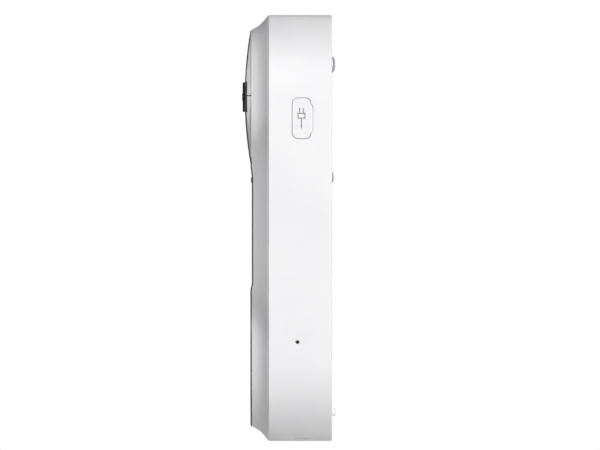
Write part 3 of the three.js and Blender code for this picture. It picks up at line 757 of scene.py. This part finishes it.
def rear_shell():
    posts = [rod(0, z, 3.4, -1.5, -15.3) for z in WALL_SCREW_Z]
    posts += [rod(x, z, 2.9, -1.5, -15.3) for x, z, _ in CASE_SCREWS]
    shell = join(tub(), *posts)
    cut(shell, *wall_holes(), *case_holes(), wire_window(), *usb_recess(), reset_hole(), *sound_slots())
    join(shell, peg(-PEG_X), peg(PEG_X))
    clean(shell)
    return finish_piece(shell, "housing", "shell_plastic", "rear_housing")


# --- Camera, button and side pieces -----------------------------------------------

def camera_pieces():
    profile = [[2.75, -24.4], [4.35, -24.4], [4.35, -25.82], [4.17, -26], [3.3, -26], [2.75, -25.5],
               [2.75, -24.4]]
    ring = turned("lens_ring", profile, 0, CAMERA_Z, 96, 0.08)
    finish_piece(ring, "housing", "black_plastic", "camera_ring")
    bulge = [[2.6 * math.sin(t), -24.4 - 1.8 * math.cos(t) ** 0.7] for t in np.linspace(math.pi / 2, 0, 18)]
    lens = turned("outer_lens", [[0, -24.5], [2.6, -24.5], *bulge], 0, CAMERA_Z, 72)
    finish_piece(lens, "housing", "lens_glass", "front_lens")
    profile = [[0, -18.2], [2.4, -18.2], [2.4, -19.2], [0.95, -19.2], [0.95, -23.3]]
    profile += [[0.95 * math.cos(t), -23.3 - 0.32 * math.sin(t)] for t in np.linspace(0.2, math.pi / 2, 8)]
    sensor = turned("light_sensor_window", profile, 0, SENSOR_Z, 48)
    finish_piece(sensor, "housing", "lens_glass", "light_sensor_lens")


def bell_pieces():
    front = PAD_Y + 0.05
    dish = [[r, front + 0.45 - 0.35 * (r / 11.6) ** 2] for r in np.linspace(11.6, 0, 12)]
    skirt = [[0, front + 1.6], [11.2, front + 1.6], [11.2, -19.6], [12.4, -19.6], [12.4, front + 0.5],
             [12.3, front + 0.25], [12.05, front + 0.12]]
    cap = turned("bell_push", [*skirt, *dish], 0, BUTTON_Z, 128)
    profile = [[0, front + 1], [3.4, front + 1], [3.4, -18.85], [2, -18.85], [2, -17.2], [0, -17.2]]
    post = turned("post", profile, 0, BUTTON_Z, 48)
    finish_piece(join(cap, post), "button", "button_plastic", "bell_button")
    guide = [[12.7, -18.7], [14.3, -18.7], [14.3, PAD_Y + 0.2], [14, PAD_Y], [12.9, PAD_Y + 0.06],
             [12.7, PAD_Y + 0.2], [12.7, -18.7]]
    ring = turned("lit_ring", guide, 0, BUTTON_Z, 128, 0.06)
    finish_piece(ring, "housing", "clear_plastic", "light_ring")


def plug_mark(width, low, high):
    """A power plug drawn in thin strokes."""
    strokes = []
    for y, z, length, upright in ((-0.55, 2.3, 1.4, True), (0.55, 2.3, 1.4, True), (0, 1.45, 2.3, False),
                                  (-1, 0.75, 1.6, True), (1, 0.75, 1.6, True), (0, 0.05, 2.3, False),
                                  (0, -1.4, 2.9, True)):
        size = (width, length) if upright else (length, width)
        strokes.append(side_plate("stroke", USB_Y + y, USB_Z + z, *size, width * 0.45, low, high))
    return strokes


def side_pieces():
    base = side_plate("base", USB_Y, USB_Z, 5.3, 11.7, 1.4, 22.8, 23.5)
    face = prism("socket_cover", [(23.46, cover_outline()), (23.78, cover_outline()),
                                  (23.86, cover_outline(-0.04)), (HALF_WIDTH, cover_outline(-0.14))], "x")
    plug = side_plate("plug", USB_Y - 0.4, USB_Z, 2.2, 7, 0.5, 21.5, 23.4, edge=0.2)
    join(face, base, plug)
    cut(face, *plug_mark(0.34, 23.5, 24.2))
    finish_piece(face, "usb_flap", "cover_rubber", "usb_cover")
    # Thin black fins set at the bottom of the plug's moulded grooves: painted shade that darkens the
    # grooves.
    groove_shade_fin, *strokes = plug_mark(0.03, 23.48, 23.65)
    groove_shade_fin.name = "painted_groove_shade"
    finish_piece(join(groove_shade_fin, *strokes), "usb_flap", "black_plastic")


def cross_cutter(x, z, width, slot, y0, y1):
    bars = []
    for w, h in ((width, slot), (slot, width)):
        low = rounded_rectangle(x, z, w * 0.72, h * 0.7, 0.08, 3)
        high = rounded_rectangle(x, z, w, h, 0.1, 3)
        bars.append(prism("bar", [(y0, low), (y1, high), (y1 + 1, high)], "y"))
    return bars


def screw_pieces():
    for i, x in enumerate((-TERMINAL_X, TERMINAL_X)):
        head = [[2.3 * math.cos(t), 0.1 + 0.9 * math.sin(t)] for t in np.linspace(0.12, math.pi / 2, 12)]
        shaft = [[0, -7.5], [1.2, -7.4]]
        shaft += [[1.4 if k % 2 else 1.2, -7.2 + 0.25 * k] for k in range(26)]
        profile = [*shaft, [1.3, -0.7], [2.2, -0.7], [2.3, -0.6], [2.3, 0.15], *head]
        made = turned("terminal_head_%d" % (i + 1), profile, x, TERMINAL_Z)
        cut(made, *cross_cutter(x, TERMINAL_Z, 2.6, 0.5, 0.15, 1.1))
        finish_piece(made, "screw_%d" % (i + 1), "steel", "terminal_screw_%d" % (i + 1))
    for i, (x, z, proud) in enumerate(CASE_SCREWS):
        angles = np.linspace(0.12, math.pi / 2, 10)
        head = [[1.6 * math.cos(t), proud - 0.5 + 0.5 * math.sin(t)] for t in angles]
        shaft = [[0, -14.5], [0.85, -14.1], [0.85, proud - 1.2], [1.52, proud - 1.2], [1.6, proud - 1.1]]
        made = turned("case_head_%d" % (i + 1), [*shaft, *head], x, z, 56)
        cut(made, *cross_cutter(x, z, 1.8, 0.4, proud - 0.6, proud + 0.05))
        finish_piece(made, "housing", "steel", "case_screw_%d" % (i + 1))


# --- Inner pieces -------------------------------------------------------------------

def inner_frame():
    """The frame behind the front cover, with its camera tower, bell collar and stiffening ribs."""
    plate = pill_slab("inner_frame", 2.25, -15.6, -17.6)
    ribs = [block("rib", (x - 0.5, x + 0.5), (-18.6, -17), (-19, 21)) for x in (-12.5, 12.5)]
    ribs += [block("rib", (-12.6, 12.6), (-18.3, -17), (z - 0.45, z + 0.45)) for z in (-8, 7.5, 20.6)]
    join(plate, rod(0, CAMERA_Z, 8.4, -16, -21.8), rod(0, BUTTON_Z, 15.9, -16, -20.4, 96), *ribs)
    holes = [rod(0, CAMERA_Z, 6.4, 0, -30), rod(0, BUTTON_Z, 14.45, -18.5, -30, 96),
             rod(0, BUTTON_Z, 11.2, 0, -30, 96), rod(0, SENSOR_Z, 3.2, 0, -30, 40),
             rod(*MICROPHONE, 2.6, 0, -30, 40)]
    holes += [rod(0, z, WALL_HOLE_R, 0, -30, 40) for z in WALL_SCREW_Z]
    holes += [rod(x, z, 1.05, 0, -17.1, 32) for x, z, _ in CASE_SCREWS]
    cut(plate, *holes)
    finish_piece(soften(plate, 0.15), "housing", "black_plastic", "front_frame")


def seal():
    ring = cut(pill_slab("rim_seal", 2.2, -17.7, -18.3), pill_slab("inside", 3.1, 0, -20))
    finish_piece(soften(ring, 0.18, segments=3), "housing", "seal_rubber", "housing_seal")


def night_lamps():
    board = tube("lamp_ring_board", 0, CAMERA_Z, 8.7, 14, -18.8, -17.9, 0.1, 96)
    finish_piece(board, "housing", "circuit_board", "lamp_board")
    dome = [[1.18 * math.cos(t), -20.5 - 1.1 * math.sin(t)] for t in np.linspace(0, math.pi / 2, 10)]
    for i in range(4):
        a = math.pi / 4 + i * math.pi / 2
        profile = [[0, -19], [1.5, -19], [1.5, -19.5], [1.22, -19.6], *dome]
        lamp = turned("night_lamp_%d" % (i + 1), profile, LAMP_CIRCLE_R * math.cos(a),
                      CAMERA_Z + LAMP_CIRCLE_R * math.sin(a), 32)
        finish_piece(lamp, "housing", "clear_plastic", "infrared_lamp_%d" % (i + 1))


def barrel():
    """The lens barrel, with its fine focusing thread and the shelf that carries the lenses."""
    thread = [[4.1 if k % 2 else 3.95, -15.4 - 0.16 * k] for k in range(26)]
    profile = [[3.1, -15.2], [3.95, -15.2], *thread, [4.1, -20.2], [4.1, -24.2], [3.1, -24.2], [3.1, -20.6],
               [1.9, -20.4], [1.9, -19.8], [3.1, -19.6], [3.1, -15.2]]
    made = turned("focus_barrel", profile, 0, CAMERA_Z, 72)
    finish_piece(made, "housing", "black_plastic", "lens_barrel")


def leaf_spring():
    """A flat three-armed spring behind the bell button, with curved arms."""
    front, back = -18.2, -17.9
    rim = tube("leaf_spring", 0, BUTTON_Z, 9.4, 10.9, front, back, 0, 96)
    hub = tube("hub", 0, BUTTON_Z, 2.4, 4, front, back)
    centre = [(r, 0.9 * math.sin((r - 3.4) / 6.6 * math.pi)) for r in np.linspace(3.4, 10, 14)]
    outline = [(r, v + 0.55) for r, v in centre] + [(r, v - 0.55) for r, v in reversed(centre)]
    place = Matrix.Translation((0, 0, BUTTON_Z))
    arms = []
    for i in range(3):
        arm = prism("arm", [(front, outline), (back, outline)], "y")
        arm.data.transform(place @ Matrix.Rotation(i * 2 * math.pi / 3, 4, "Y"))
        arms.append(arm)
    finish_piece(soften(join(rim, hub, *arms), 0.05), "housing", "steel", "button_spring")


# Width of the rounded edge on each CAD node whose shape is kept
REFINED = {
    "terminal_block": 0.25, "terminal_plate_1": 0.12, "terminal_plate_2": 0.12,
    "terminal_clamp_1": 0.15, "terminal_clamp_2": 0.15, "lens_holder": 0.15,
    "filter_shuttle": 0.06, "filter_coil": 0.3, "camera_board": 0.06, "image_sensor": 0.06,
    "main_board": 0.08, "power_board": 0.08, "processor_shield": 0.2, "memory_chip": 0.08,
    "board_connector": 0.12, "radio_antenna": 0.06, "bridge_rectifier": 0.2, "speaker_frame": 0.25,
    "speaker_magnet": 0.2, "speaker_cone": 0.1, "button_switch": 0.15, "usb_socket": 0.08,
    "usb_tongue": 0.08, "reset_switch": 0.15, "microphone": 0.12, "power_inductor": 0.3,
    "capacitor_1": 0.3, "capacitor_2": 0.3,
}


def refine(name, edge):
    """A copy of a CAD node with its edges rounded."""
    node = frame["nodes"][name]
    made = bpy.data.objects.new(name + "_fine", node.data.copy())
    bpy.context.scene.collection.objects.link(made)
    made.data.transform(Matrix.Scale(1 / MM, 4))
    slot = next(slot for slot, names in SLOT_OF_NODE.items() if name in names)
    finish_piece(soften(clean(made), edge), node["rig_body"], slot, name)


front_shell()
faces()
rear_shell()
camera_pieces()
bell_pieces()
side_pieces()
screw_pieces()
inner_frame()
seal()
night_lamps()
barrel()
leaf_spring()
for refined_name, refined_edge in REFINED.items():
    refine(refined_name, refined_edge)


# --- Camera, floor and light ------------------------------------------------------

def look_at(made, target):
    made.rotation_euler = (Vector(target) - made.location).to_track_quat("-Z", "Y").to_euler()


# Metres: the view's width is at the object.
DISTANCE, VIEW_WIDTH = 5.5, 0.1747
AIM_Y, AIM_Z = -0.0093, 0.00087
FLOOR_RADIUS, FLOOR_Z = 1.3, -0.083


def camera():
    data = bpy.data.cameras.new("camera")
    data.sensor_width, data.clip_end = 36, 100
    data.lens = data.sensor_width * DISTANCE / VIEW_WIDTH
    made = bpy.data.objects.new("camera", data)
    bpy.context.scene.collection.objects.link(made)
    made.location = (DISTANCE, AIM_Y, AIM_Z)
    look_at(made, (0, AIM_Y, AIM_Z))
    bpy.context.scene.camera = made


def floor():
    angles = np.linspace(0, 2 * math.pi, 96, endpoint=False)
    points = [(FLOOR_RADIUS * math.cos(a), FLOOR_RADIUS * math.sin(a), FLOOR_Z) for a in angles]
    mesh = bpy.data.meshes.new("floor")
    mesh.from_pydata(points, [], [tuple(range(96))])
    made = bpy.data.objects.new("floor", mesh)
    bpy.context.scene.collection.objects.link(made)
    look = Look("floor", (0.88, 0.88, 0.88), 0.7)
    look.blotches(8, (0.86, 0.86, 0.86))
    mesh.materials.append(look.done())


def softbox(name, place, size, power):
    data = bpy.data.lights.new(name, "AREA")
    data.shape, data.size, data.size_y = "RECTANGLE", size[0], size[1]
    data.energy = power
    made = bpy.data.objects.new(name, data)
    bpy.context.scene.collection.objects.link(made)
    made.location = place
    look_at(made, (0, -0.01, 0))


SOFTBOXES = [
    ("key", (2.0, 0.8, 0.2), (1.1, 1.3), 30.4),
    ("high", (1.5, 0.4, 1.3), (1.0, 1.0), 19),
    ("top", (0.1, 0.1, 1.7), (1.2, 1.2), 2),
    ("front_left", (-1.6, -1.3, 0.4), (0.9, 1.2), 4.2),
    ("rear_left", (-1.5, 1.4, 0.5), (1.0, 1.2), 6.5),
    ("high_left", (-1.6, 0.5, 1.8), (1.4, 1.4), 9),
]
AMBIENT = 0.02


def studio():
    for name, place, size, power in SOFTBOXES:
        softbox(name, place, size, power)
    world = bpy.data.worlds.new("studio")
    world.use_nodes = True
    nodes, links = world.node_tree.nodes, world.node_tree.links
    path = nodes.new("ShaderNodeLightPath")
    seen = nodes.new("ShaderNodeBackground")
    seen.inputs["Color"].default_value = (1, 1, 1, 1)
    lit = nodes["Background"]
    lit.inputs["Color"].default_value = (0.97, 0.97, 1, 1)
    lit.inputs["Strength"].default_value = AMBIENT
    mix = nodes.new("ShaderNodeMixShader")
    links.new(path.outputs["Is Camera Ray"], mix.inputs[0])
    links.new(lit.outputs[0], mix.inputs[1])
    links.new(seen.outputs[0], mix.inputs[2])
    links.new(mix.outputs[0], nodes["World Output"].inputs["Surface"])
    bpy.context.scene.world = world
    bpy.context.scene.view_settings.view_transform = "Standard"


camera()
floor()
studio()
